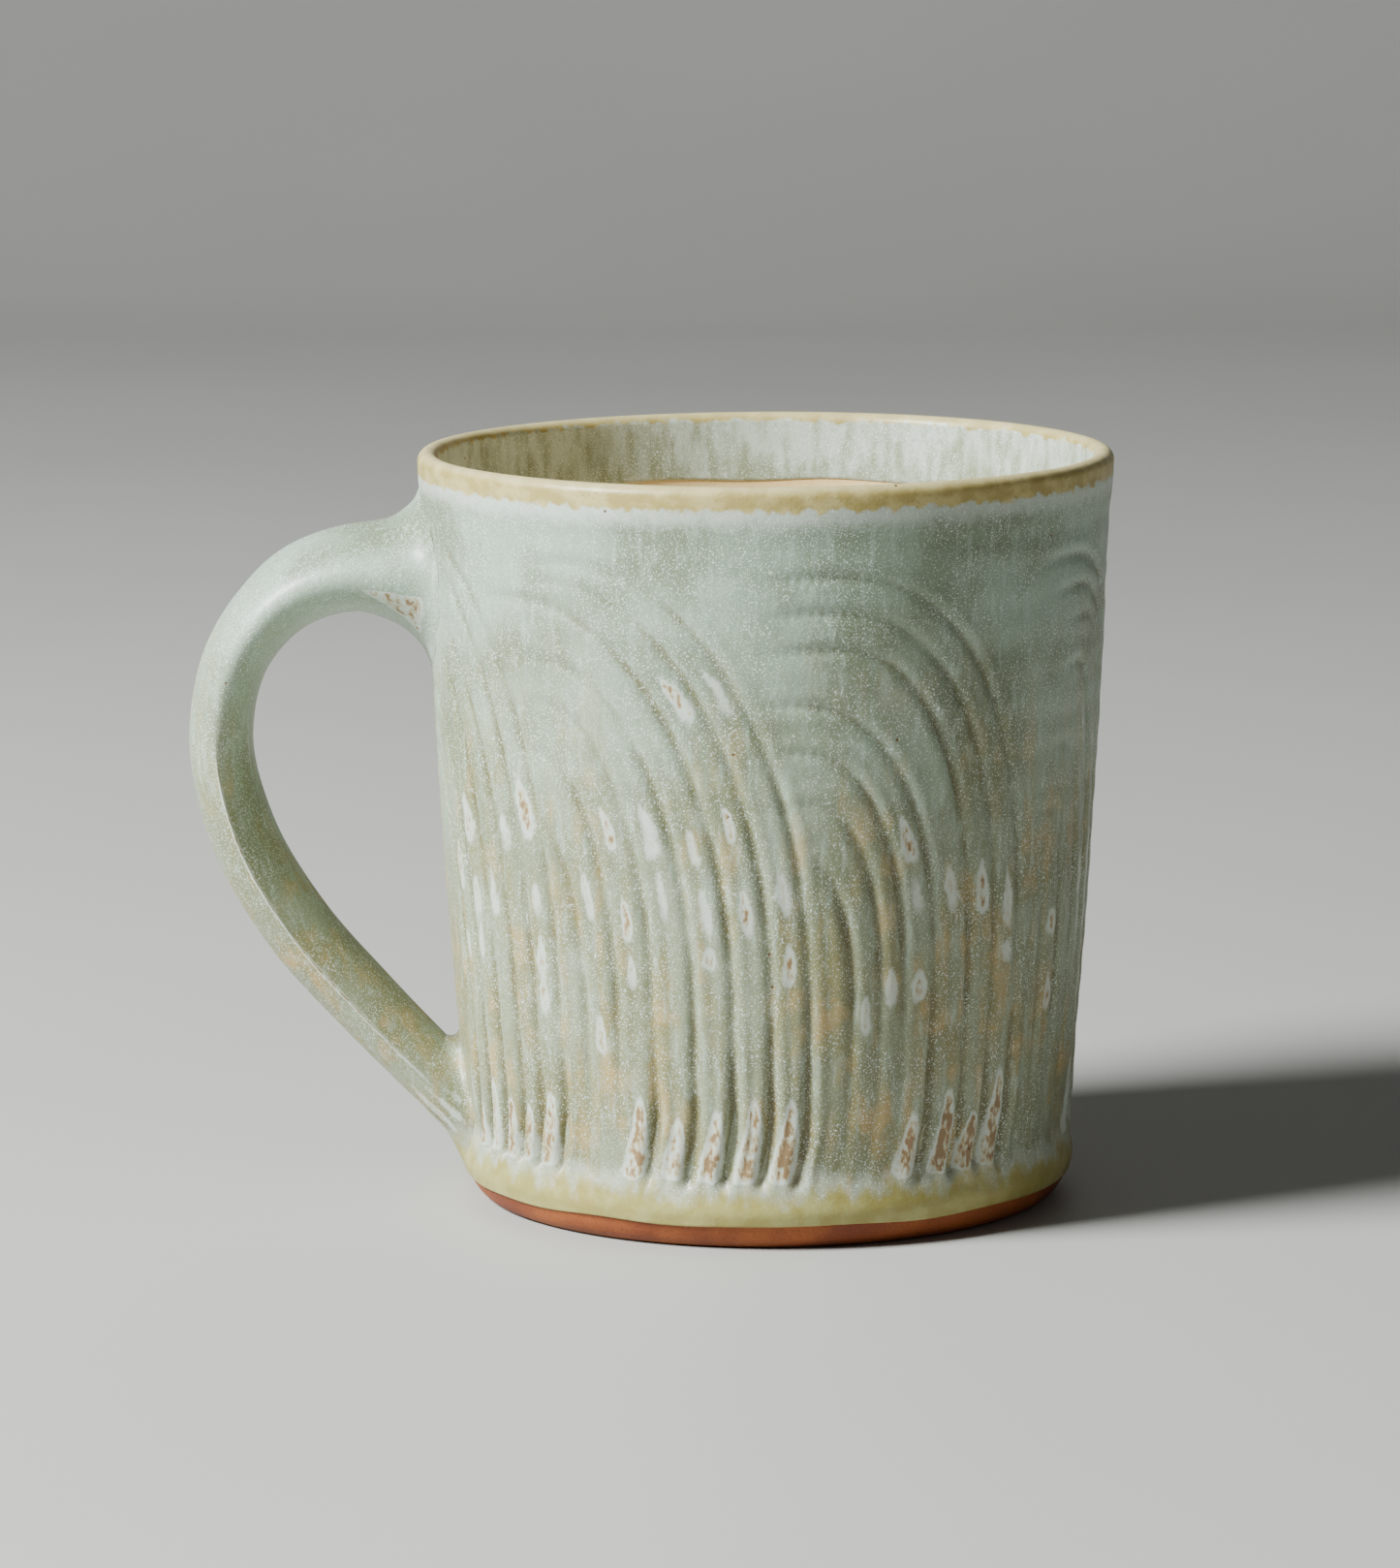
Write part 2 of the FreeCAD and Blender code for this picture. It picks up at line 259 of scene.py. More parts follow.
def tooth_path(crest, top, fall, squareness):
    """The line of one tooth, as rows of azimuth and height: a run-in, a quarter turn, a fall and a hook."""
    lead = np.linspace(-1.0, 0.0, 12)[:-1]
    lead_in = np.column_stack([crest + RUN_IN * lead, top - 1.1 * lead * lead])
    turn = np.radians(np.linspace(0.0, 90.0, 60))
    over = np.column_stack([
        crest + (fall - crest) * np.sin(turn) ** (2 / squareness),
        FALL_Z + (top - FALL_Z) * np.cos(turn) ** (2 / squareness),
    ])
    down = np.linspace(FALL_Z, COMB_END_Z, 20)[1:]
    hook = 2.4 * smooth_step(-down, -HOOK_Z, -COMB_END_Z + 3.0)
    straight = np.column_stack([fall - hook, down])
    line = np.vstack([lead_in, over, straight])
    line[:, 0] *= MM_PER_DEGREE
    length = lengths_along(line)
    even = np.arange(0.0, length[-1], TOOTH_STEP)
    path = np.column_stack([np.interp(even, length, line[:, axis]) for axis in (0, 1)])
    path[:, 0] /= MM_PER_DEGREE
    return path


def all_teeth():
    """Every tooth line, with the squareness of its turn and how hard its heel was pressed in at the foot."""
    hidden = [
        (hidden_pass(fall, 40 + number), HIDDEN_SQUARENESS, 4 + number % 2)
        for number, fall in enumerate(HIDDEN_FALLS)
    ]
    return [
        (crest, top, fall, squareness, 1.0 if number < heels else LIGHT_HEEL)
        for teeth, squareness, heels in SEEN_PASSES + hidden
        for number, (crest, top, fall) in enumerate(teeth)
    ]


def handle_shield(azimuth, z):
    """1 where the handle's joints cover the wall and hold the comb off, and 0 elsewhere."""
    aside = angle_from(azimuth, HANDLE_AZIMUTH) * MM_PER_DEGREE
    upper = 1 - smooth_step(np.hypot(aside / 15.5, (z - 80.5) / 13.0), 1.0, 1.25)
    lower = 1 - smooth_step(np.hypot(aside / 12.0, (z - 10.5) / 9.5), 1.0, 1.3)
    return np.maximum(upper, lower)


def falling_azimuth(crest, top, fall, squareness, z):
    """Azimuth of a tooth's line where it turns and falls through height z."""
    share = np.clip((z - FALL_Z) / (top - FALL_Z), 0.0, 1.0)
    turn = np.arccos(share ** (squareness / 2))
    return crest + (fall - crest) * np.sin(turn) ** (2 / squareness)


def blades_between(teeth, squareness, draw):
    """Blades in the gaps of one pass: azimuth and height of both ends, half width and how worn."""
    blades = []
    for pair in zip(teeth, teeth[1:]):
        for middle, shortest, longest, chance in BLADE_BANDS:
            height = middle + draw.normal(0.0, 1.4)
            half = draw.uniform(shortest, longest) / 2
            half_width = draw.uniform(0.45, 0.95)
            share = draw.uniform(0.65, 1.15)
            absent = draw.random() > chance
            lower_crest = pair[1][1]
            if absent or height + half > lower_crest - 4.0:
                continue
            top, end = height + half, height - half
            side_top, side_end = (
                np.mean([falling_azimuth(*tooth, squareness, z) for tooth in pair]) for z in (top, end)
            )
            blades.append((side_top, top, side_end, end, half_width, share))
    return blades


def worn_blades(azimuths, heights):
    """How worn the glaze is in each blade on a grid: slim, pointed above and rounded below."""
    azimuth, z = np.meshgrid(azimuths, heights)
    worn = np.zeros_like(azimuth)
    draw = np.random.default_rng(11)
    blades = [blades_between(teeth, squareness, draw) for teeth, squareness, _ in SEEN_PASSES]
    for side_top, top, side_end, end, half_width, share in sum(blades, []):
        down = np.clip((top - z) / (top - end), -0.6, 1.6)
        bow = 0.22 * (side_end - side_top) * np.sin(math.pi * np.clip(down, 0, 1))
        middle = side_top + (side_end - side_top) * down + bow
        aside = angle_from(azimuth, middle) * MM_PER_DEGREE
        belly = 0.5 + 0.6 * smooth_step(down, 0.0, 0.6) - 0.25 * smooth_step(down, 0.8, 1.1)
        width = 1.35 * half_width * belly
        ends = smooth_step(down, -0.15, 0.35) * (1 - smooth_step(down, 0.7, 1.15))
        worn = np.maximum(worn, share * ends * np.exp(-np.abs(aside / width) ** 2.4))
    return worn


def near_line(path, azimuths, heights):
    """The window of a grid near a tooth's line, and how far along and across it each point there lies."""
    middle = (path[:, 0].min() + path[:, 0].max()) / 2
    reach = (path[:, 0].max() - path[:, 0].min()) / 2 + (COMB_REACH + 0.5) / MM_PER_DEGREE
    columns = np.nonzero(np.abs(angle_from(azimuths, middle)) < reach)[0]
    lowest, highest = path[:, 1].min() - COMB_REACH, path[:, 1].max() + COMB_REACH
    rows = np.nonzero((heights > lowest) & (heights < highest))[0]
    side = (angle_from(azimuths[columns], middle) * MM_PER_DEGREE)[None, :, None]
    up = heights[rows][:, None, None]
    line_side = (path[:, 0] - middle) * MM_PER_DEGREE
    line_up = path[:, 1]
    nearest = ((side - line_side) ** 2 + (up - line_up) ** 2).argmin(axis=2)
    along_side = np.gradient(line_side)
    along_up = np.gradient(line_up)
    size = np.hypot(along_side, along_up)
    along_side, along_up = (along_side / size)[nearest], (along_up / size)[nearest]
    off_side = side[:, :, 0] - line_side[nearest]
    off_up = up[:, :, 0] - line_up[nearest]
    along = off_side * along_side + off_up * along_up
    across = off_side * -along_up + off_up * along_side
    at_end = (nearest == 0) | (nearest == len(path) - 1)
    across = np.where(at_end, np.sign(across) * np.hypot(across, along), across)
    return np.ix_(rows, columns), nearest * TOOTH_STEP + along, across


def tooth_luck(draw, in_front):
    """What is drawn for one tooth: strength, worn patches, and how worn and how tall its tongue is."""
    strength = draw.uniform(0.8, 1.15)
    patches = [
        (
            draw.normal(place, shift), draw.uniform(short, long),
            draw.uniform(least, most), draw.uniform(1.5, 2.6),
        )
        for place, shift, short, long, least, most in WORN_ELSEWHERE
    ]
    tongue_share = draw.uniform(0.95, 1.4) if in_front else draw.uniform(0.3, 1.25)
    tongue_top = draw.uniform(16.0, 26.0)
    return strength, [] if in_front else patches, tongue_share, tongue_top


def tooth_bite(travelled, z, top, fall, heel, low, lowest):
    """How deep one tooth bit: lightly over its crest, chattering as it took hold, and deepest at its heel."""
    fade_in = smooth_step(travelled, 4.0, 22.0)
    chatter = 1 - 0.25 * (1 - fade_in) * (1 + np.sin(travelled * 4.6 + fall))
    uneven = 1 + 0.22 * np.sin(travelled * 0.23 + fall) + 0.12 * np.sin(travelled * 0.71 + 2 * fall)
    run_in = 0.10 + 0.14 * smooth_step(np.array(top), 66.0, 80.0)
    bite = run_in * smooth_step(travelled, 0.0, 9.0) + (0.40 - run_in) * fade_in + 0.18 * low + 0.36 * lowest
    bite = bite * uneven * chatter * (heel + (1 - heel) * smooth_step(z, 12.0, 34.0))
    return bite * smooth_step(z, COMB_END_Z - 1.2, COMB_END_Z + 1.2)


def worn_by_tooth(travelled, across, z, patches, tongue_share, tongue_top):
    """How worn the glaze is beside one groove: in patches along it, and in a tapered tongue at its foot."""
    worn = np.zeros_like(across)
    for place, long, share, inner in patches:
        spot = share * bump_at(z, place, long) * bump_at(across, -inner, 0.75)
        worn = np.maximum(worn, spot * smooth_step(travelled, 8.0, 20.0))
    taper = smooth_step(tongue_top - z, 0.0, tongue_top - 9.5)
    tongue = np.exp(-np.abs((across + 2.3) / (0.4 + 1.35 * taper)) ** 3) * smooth_step(taper, 0.02, 0.35)
    tongue *= smooth_step(z, COMB_END_Z - 0.2, COMB_END_Z + 1.4)
    return np.maximum(worn, tongue_share * tongue)


def comb(azimuths, heights):
    """What the comb did on a grid of azimuths and heights: depth, ridge height, pooled and thin glaze."""
    draw = np.random.default_rng(3)
    azimuth, z = np.meshgrid(azimuths, heights)
    depth, ridge, pool = (np.zeros_like(azimuth) for _ in range(3))
    thin = worn_blades(azimuths, heights)
    for crest, top, fall, squareness, heel in all_teeth():
        path = tooth_path(crest, top, fall, squareness)
        strength, patches, tongue_share, tongue_top = tooth_luck(draw, FRONT[0] < fall < FRONT[1])
        window, travelled, across = near_line(path, azimuths, heights)
        here = z[window]
        clear = 1 - handle_shield(azimuth[window], here)
        low = heel * (1 - smooth_step(here, 14.0, 30.0))
        lowest = heel * (1 - smooth_step(here, 11.0, 23.0))
        bite = strength * clear * tooth_bite(travelled, here, top, fall, heel, low, lowest)
        width = 0.56 + 0.12 * low
        shoulders = bump_at(across, 1.55 + 0.2 * low, 0.75) + 0.7 * bump_at(across, -1.6, 0.8)
        wedge = bump_at(across, -2.0, 0.45 + 0.75 * lowest) * lowest * strength * clear
        wedge *= smooth_step(here, COMB_END_Z - 1.0, COMB_END_Z + 1.0)
        pooled = np.clip(bite * 1.6, 0, 1) * bump_at(across, 0.0, width * 1.25)
        worn = clear * worn_by_tooth(travelled, across, here, patches, tongue_share * heel, tongue_top)
        depth[window] = np.maximum(depth[window], bite * bump_at(across, 0.0, width))
        ridge[window] = np.maximum(ridge[window], bite * 0.34 * shoulders + 0.2 * wedge)
        pool[window] = np.maximum(pool[window], pooled)
        thin[window] = np.maximum(thin[window], worn)
    return depth, ridge, pool, thin


# ---- mesh making

def round_grid(azimuth, radius, z):
    """Points in millimetres from azimuths, radii and heights, as an array whose rows ring the axis."""
    azimuth, radius, z = np.broadcast_arrays(azimuth, radius, z)
    angle = np.radians(azimuth)
    return np.stack([radius * np.sin(angle), -radius * np.cos(angle), z], axis=-1)


def closed_piece(name, points, sharp_rows=(), poles=False, looks=None):
    """A closed mesh object from rows of points round a piece. They close in a loop or end in two poles."""
    rows, columns = points.shape[:2]
    corner = np.arange(rows * columns).reshape(rows, columns)
    vertices = points.reshape(-1, 3)
    after = np.roll(corner, -1, axis=1)
    first = corner if not poles else corner[:-1]
    upper = np.roll(corner, -1, axis=0) if not poles else corner[1:]
    upper_after = np.roll(after, -1, axis=0) if not poles else after[1:]
    first_after = after if not poles else after[:-1]
    faces = np.stack([first, first_after, upper_after, upper], axis=-1).reshape(-1, 4).tolist()
    if poles:
        start, end = len(vertices), len(vertices) + 1
        vertices = np.vstack([vertices, vertices[corner[0]].mean(axis=0), vertices[corner[-1]].mean(axis=0)])
        faces += [[start, b, a] for a, b in zip(corner[0], after[0])]
        faces += [[end, a, b] for a, b in zip(corner[-1], after[-1])]
    if inside_out(vertices, faces):
        faces = [face[::-1] for face in faces]
    mesh = bpy.data.meshes.new(name)
    mesh.from_pydata(vertices * MM, [], faces)
    mesh.shade_smooth()
    mark_sharp(mesh, sharp_rows, rows, columns)
    for look, values in (looks or {}).items():
        layer = mesh.attributes.new(look, "FLOAT", "POINT")
        padded = np.zeros(len(vertices), np.float32)
        padded[: rows * columns] = np.broadcast_to(values, (rows, columns)).ravel()
        layer.data.foreach_set("value", padded)
    piece = bpy.data.objects.new(name, mesh)
    bpy.context.collection.objects.link(piece)
    return piece


def inside_out(vertices, faces):
    """True if a closed mesh's faces point inwards."""
    second_halves = [[face[0], face[-2], face[-1]] for face in faces if len(face) == 4]
    fans = np.array([face[:3] for face in faces] + second_halves)
    a, b, c = (vertices[fans[:, corner]] for corner in range(3))
    return float((a * np.cross(b, c)).sum()) < 0


def mark_sharp(mesh, sharp_rows, rows, columns):
    """Keeps the shading crisp along whole rows, where an outer face meets a hidden one."""
    ends = np.empty(2 * len(mesh.edges), np.int64)
    mesh.edges.foreach_get("vertices", ends)
    row = np.where(ends < rows * columns, ends // columns, -1).reshape(-1, 2)
    sharp = (row[:, 0] == row[:, 1]) & np.isin(row[:, 0], list(sharp_rows))
    layer = mesh.attributes.new("sharp_edge", "BOOLEAN", "EDGE")
    layer.data.foreach_set("value", sharp)


def finish_piece(piece, material, slot, *nodes):
    """Paints a piece, ties it to the mug and hides the CAD nodes that it stands for."""
    piece.data.materials.append(material)
    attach(piece, "root")
    if nodes:
        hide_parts(*nodes)
    return piece


def ring_azimuths(count):
    """Evenly spaced azimuths, as one row."""
    return np.arange(count) * FULL_TURN / count


# ---- wall

def wall_heights():
    """Row heights of the wall's glaze: close together where the comb turns, wider where it falls straight."""
    return np.concatenate([
        np.arange(FOOT_BAND_Z, 22.0, 0.7), np.arange(22.0, 52.0, 1.1),
        np.arange(52.0, RIM_BAND_Z - 0.3, 0.55), [RIM_BAND_Z],
    ])


def wall_surface(azimuths, heights):
    """Radius of the finished wall on a grid, with the pooled and thin glaze left by the comb."""
    azimuth, z = np.meshgrid(azimuths, heights)
    depth, ridge, pool, thin = comb(azimuths, heights)
    calm = smooth_step(z, FOOT_BAND_Z, FOOT_BAND_Z + 4.0) * (1 - smooth_step(z, RIM_BAND_Z - 5.0, RIM_BAND_Z))
    shape = outside_radius(z) - HEADROOM * calm + hand_wobble(azimuth, z, 0.05, seed=21) * calm
    throwing = 0.035 * np.sin(z * 1.3 + np.radians(azimuth)) * calm
    return shape + throwing + ridge - depth, pool, thin


def make_wall_glaze(material):
    """The sage coat on the wall, with the comb's marks, closed by a hidden back."""
    azimuths = ring_azimuths(COLUMNS)
    heights = wall_heights()
    radius, pool, thin = wall_surface(azimuths, heights)
    back_heights = np.linspace(RIM_BAND_Z, FOOT_BAND_Z, 5)
    back_radius = outside_radius(back_heights) - UNDERCUT
    radii = np.vstack([radius, np.repeat(back_radius[:, None], COLUMNS, axis=1)])
    levels = np.concatenate([heights, back_heights])[:, None]
    back = np.zeros((len(back_heights), COLUMNS))
    last = len(heights) - 1
    piece = closed_piece(
        "wall_glaze", round_grid(azimuths, radii, levels),
        sharp_rows=(0, last, last + 1, last + len(back_heights)),
        looks={"pool": np.vstack([pool, back]), "thin": np.vstack([thin, back])},
    )
    return finish_piece(piece, material, "sage_glaze", "outer_glaze")


def make_rim_band(material):
    """The coat over the lip, from the wall outside to the wavy dip edge inside."""
    azimuths = ring_azimuths(COLUMNS)
    edge = dip_edge(azimuths)
    bend = np.radians(np.linspace(0, 180, 19))
    uneven = wander(azimuths, 0.035, seed=8)
    rows_r, rows_z, thin = [], [], []

    def add(radius, z, bare=0.0):
        rows_r.append(np.broadcast_to(radius, azimuths.shape))
        rows_z.append(np.broadcast_to(z, azimuths.shape))
        thin.append(np.broadcast_to(bare, azimuths.shape))

    for z in np.linspace(RIM_BAND_Z, LIP_Z, 5)[:-1]:
        add(outside_radius(z) + (uneven - SLACK) * smooth_step(z, RIM_BAND_Z, LIP_Z), z)
    for angle in bend:
        lip_z = LIP_Z - 0.05 + (LIP_ROUND + uneven) * math.sin(angle)
        add(LIP_RADIUS - 0.03 + LIP_ROUND * math.cos(angle), lip_z)
    for step in np.linspace(0, 1, 20)[1:]:
        z = LIP_Z + (edge - LIP_Z) * step
        roll = 0.14 * smooth_step(step, 0.3, 0.9)
        add(inside_radius(z) - roll, z, bare=0.75 * smooth_step(step, 0.93, 1.0))
    add(inside_radius(edge) + COAT, edge - 0.12, bare=0.9)
    front = len(rows_r)
    for step in (0.5, 0.0):
        z = LIP_Z + (edge - LIP_Z) * step
        add(inside_radius(z) + COAT, z)
    for angle in bend[::-3][1:-1]:
        add(LIP_RADIUS + (LIP_ROUND - COAT) * math.cos(angle), LIP_Z + (LIP_ROUND - COAT) * math.sin(angle))
    add(outside_radius(LIP_Z) - UNDERCUT, LIP_Z)
    add(outside_radius(RIM_BAND_Z) - UNDERCUT, RIM_BAND_Z)
    points = round_grid(azimuths, np.array(rows_r), np.array(rows_z))
    piece = closed_piece(
        "rim_glaze", points, sharp_rows=(0, front - 1, len(rows_r) - 1),
        looks={"thin": np.array(thin), "pool": 0.0},
    )
    return finish_piece(piece, material, "ochre_glaze", "rim_glaze_band")


def make_foot_band(material):
    """The thick roll of glaze that gathered above the bare foot."""
    azimuths = ring_azimuths(COLUMNS)
    edge = glaze_line(azimuths)
    gather = wander(azimuths, 0.07, seed=17, turns=range(4, 20))
    rows_r, rows_z = [], []
    shares = np.linspace(0, 1, 12)
    for share in shares:
        z = FOOT_BAND_Z + (edge - FOOT_BAND_Z) * share
        rows_r.append(outside_radius(z) + gather * math.sin(math.pi * share) - 0.05 * share)
        rows_z.append(z)
    for drop, tuck in ((0.16, 0.12), (0.2, 0.3)):
        rows_r.append(outside_radius(edge) - tuck)
        rows_z.append(edge - drop)
    tip = len(rows_r)
    rows_r.append(bare_radius(edge - 0.1) - SLACK)
    rows_z.append(edge - 0.1)
    for z in (edge + 1.2, np.full_like(azimuths, FOOT_BAND_Z)):
        rows_r.append(outside_radius(z) - UNDERCUT)
        rows_z.append(z)
    thin = np.zeros((len(rows_r), len(azimuths)))
    thin[len(shares) - 1:tip] = 0.35
    points = round_grid(azimuths, np.array(rows_r), np.array(rows_z))
    piece = closed_piece(
        "foot_glaze", points, sharp_rows=(0, tip, len(rows_r) - 1), looks={"thin": thin, "pool": 0.0},
    )
    return finish_piece(piece, material, "foot_glaze", "foot_glaze_band")


# ---- inside, clay

def beside(path, distance):
    """A path that runs down the inside of the mug, moved by a distance into the clay."""
    slope = np.gradient(path, axis=0)
    slope /= np.linalg.norm(slope, axis=1)[:, None]
    return path + distance * np.column_stack([-slope[:, 1], slope[:, 0]])


def throwing_rings(path, azimuths, size, pitch):
    """Pushes a turned path off itself in a slow spiral of finger rings, as radii and heights on a grid."""
    along = lengths_along(path)
    direction = np.gradient(path, axis=0)
    direction /= np.linalg.norm(direction, axis=1)[:, None]
    wave = np.sin(2 * math.pi * along[:, None] / pitch + np.radians(azimuths)[None, :])
    calm = smooth_step(along, 2.0, 9.0) * (1 - smooth_step(along, along[-1] - 9.0, along[-1] - 2.0))
    push = size * wave * calm[:, None]
    return path[:, :1] - direction[:, 1:] * push, path[:, 1:] + direction[:, :1] * push


def make_liner(material):
    """The peach coat poured over the floor and up the inside to the dip line, closed by a hidden back."""
    azimuths = ring_azimuths(LINER_COLUMNS)
    up_to_dip = [point for point in INSIDE if point[1] < DIP_Z + 1]
    path = path_through(up_to_dip, 130)[1:]
    radii, heights = throwing_rings(path, azimuths, 0.13, 6.5)
    edge = dip_edge(azimuths)
    lift = smooth_step(path[:, 1], DIP_Z - 10.0, DIP_Z)[:, None]
    heights = heights + (edge - DIP_Z) * lift
    radii = np.where(lift > 0, inside_radius(heights), radii)
    back = beside(path_through(up_to_dip, 24)[1:][::-1], COAT)
    back_heights = back[:, 1:] + (edge - DIP_Z) * smooth_step(back[:, 1], DIP_Z - 10.0, DIP_Z)[:, None]
    back_radii = np.repeat(back[:, :1], len(azimuths), axis=1)
    points = round_grid(azimuths, np.vstack([radii, back_radii]), np.vstack([heights, back_heights]))
    near_edge = np.vstack([bump_at(heights, edge, 1.3), np.zeros_like(back_heights)])
    piece = closed_piece(
        "liner", points, sharp_rows=(len(radii) - 1, len(radii)), poles=True, looks={"edge": near_edge},
    )
    return finish_piece(piece, material, "liner_glaze", "liner_glaze")


def make_clay(material):
    """The thrown pot itself: trimmed underside and bare foot showing, the rest under its coats."""
    azimuths = ring_azimuths(CLAY_COLUMNS)
    recess = np.linspace(1.0, 30.0, 60)
    trim = 0.42 + 0.05 * np.sin(2 * math.pi * recess / 1.9)
    under = list(zip(recess, trim)) + [(31.5, 0.34), (32.6, 0.12), (33.6, 0.02), (35.2, 0.0)]
    foot = path_through(BARE_FOOT[:-1], 16)
    hidden = [(float(outside_radius(z)) - UNDERCUT - SLACK, z) for z in np.linspace(FOOT_BAND_Z, LIP_Z, 12)]
    arc = np.radians(np.linspace(20, 160, 8))
    lip = [(LIP_RADIUS + 0.9 * math.cos(angle), LIP_Z + 0.88 * math.sin(angle)) for angle in arc]
    inner = beside(path_through(INSIDE, 60)[::-1][:-1], COAT + SLACK)
    path = np.array(under + foot.tolist() + [(39.3, 3.9), (39.0, 4.6)] + hidden + lip + inner.tolist())
    worn = bump_at(path[:, 1], 1.6, 1.2)[:, None] * (path[:, :1] > 35) * wander(azimuths, 0.05, seed=31)
    trimmed = (path[:, 1:] < 3.4) * (path[:, :1] > 37)
    trimming = 0.03 * np.sin(path[:, 1:] * 9.0 + 2 * np.radians(azimuths)) * trimmed
    radii = path[:, :1] + np.minimum(worn, 0.0) - np.abs(trimming)
    edge = glaze_line(azimuths)
    stretch = smooth_step(path[:, 1:], 2.0, 3.2) * (1 - smooth_step(path[:, 1:], 4.6, 6.9))
    heights = path[:, 1:] + (edge - GLAZE_LINE_Z) * stretch * (path[:, :1] > 38.5)
    low = (path[:, 0] > 36) & (path[:, 1] < 3.5)
    radii = np.where(low[:, None], np.minimum(radii, bare_radius(heights)), radii)
    piece = closed_piece("clay_body", round_grid(azimuths, radii, heights), poles=True)
    return finish_piece(piece, material, "stoneware", "thrown_body")


# ---- handle

# Stations down the middle of the pulled strap: x, z, thickness across the loop and width along y.
STRAP = [
    (-41.0, 80.9, 12.9, 25.2), (-46.8, 81.5, 11.9, 24.6), (-53.8, 81.7, 10.6, 23.4), (-61.3, 79.0, 9.6, 22.2),
    (-67.7, 72.2, 8.6, 21.2), (-70.85, 60.0, 8.2, 20.3), (-68.5, 47.9, 8.7, 19.7), (-61.4, 35.0, 9.0, 19.2),
    (-52.8, 25.0, 8.8, 18.6), (-44.4, 16.2, 8.5, 18.0), (-36.0, 7.8, 8.5, 18.0),
]
STRAP_COLUMNS = 120                # points round the strap
UPPER_FLARE = (9.0, 3.0)           # how far from the wall the fillet starts, in thickness and in width
LOWER_FLARE = (4.2, 2.2)
UPPER_LANDING = (1.0, 0.0, 0.0)    # direction in which the strap meets the wall
LOWER_LANDING = (0.70, 0.0, -0.71)
MID_Z = 45.0                       # height between the two joints
ROOT_DEPTH = 1.2                   # how deep the strap's ends are pressed into the wall


def flare(gap, reach):
    """How far a clay fillet stands off the strap at a gap from the wall; it dies away at reach."""
    gap = np.minimum(gap + 0.3, reach)
    return (math.sqrt(reach) - np.sqrt(gap)) ** 2


def wall_gap(points):
    """Distance of points outside the mug's wall."""
    z = np.clip(points[..., 2], OUTSIDE[0][0], OUTSIDE[-1][0])
    return np.hypot(points[..., 0], points[..., 1]) - outside_radius(z) + HEADROOM


def slide_to_gap(points, direction, gap):
    """Moves points along a direction until they stand at a gap from the wall."""
    moved = np.zeros(points.shape[:-1])
    for _ in range(12):
        miss = wall_gap(points + direction * moved[..., None]) - gap
        moved = moved + np.clip(miss, -4.0, 4.0) * 0.8
    return points + direction * moved[..., None]


def strap_turn():
    """Angles round the strap's section, closest together at its two side edges."""
    even = np.arange(STRAP_COLUMNS) * 2 * math.pi / STRAP_COLUMNS
    return even - 0.3 * np.sin(2 * even)


def angle_in_turn(turn):
    """An angle as a number from 0 to a full turn."""
    return turn % (2 * math.pi)


def crease_zone(z):
    """1 on the lower half of the strap, where its faces meet in crisp side edges, and 0 elsewhere."""
    return smooth_step(-z, -64.0, -50.0) * smooth_step(z, 12.0, 20.0)


def strap_ring(station, direction, gap, inward, flared):
    """One ring round the strap, sunk inward under its finished face; flared adds the joint's fillet."""
    x, z, thickness, width = station
    turn = strap_turn()
    across, out = np.cos(turn), np.sin(turn)
    crisp = 1.0 + 0.42 * crease_zone(z)
    reach_out, reach_side = UPPER_FLARE if z > MID_Z else LOWER_FLARE
    half_out = thickness / 2 - inward
    half_side = width / 2 - 1.5 * inward
    if flared:
        half_out += flare(gap, reach_out)
        half_side += flare(gap, reach_side)
    half_side = half_side + 0.22 * crease_zone(z) * bump_at(out, 0.0, 0.1)
    offset = half_out * np.sign(out) * np.abs(out) ** crisp
    if inward == 0:
        offset = offset + strap_marks(turn, z, gap) * np.sign(out) * np.abs(out) ** 0.5
    outward = np.array([direction[1], -direction[0]])
    return np.stack([x + outward[0] * offset, half_side * across, z + outward[1] * offset], axis=-1)


def strap_marks(turn, z, gap):
    """Low flutes that the potter's wet fingers drew along the strap, and the ridge on top of its root."""
    flutes = 0.10 * np.sin(3 * turn + 0.03 * z) + 0.05 * np.sin(7 * turn - 0.05 * z)
    ridge = 0.45 * bump_at(turn, math.pi / 2 - 0.1, 0.28) * smooth_step(z, 76.0, 80.5)
    return (flutes + ridge) * smooth_step(np.array(gap), 0.0, 3.0)


def strap_line():
    """The strap's stations as knots along its middle, and the places where it meets the wall."""
    stations = np.array(STRAP)
    along = lengths_along(stations[:, :2])
    knots = np.column_stack([along, stations])
    dense = np.linspace(0, along[-1], 600)
    middle = curve_through(knots, dense)
    gaps = -middle[:, 0] - outside_radius(middle[:, 1]) + HEADROOM
    clear = np.nonzero(gaps > 0)[0]
    start = np.interp(0, gaps[clear[0] - 1: clear[0] + 1], dense[clear[0] - 1: clear[0] + 1])
    end = np.interp(0, gaps[clear[-1]: clear[-1] + 2][::-1], dense[clear[-1]: clear[-1] + 2][::-1])
    return knots, start, end


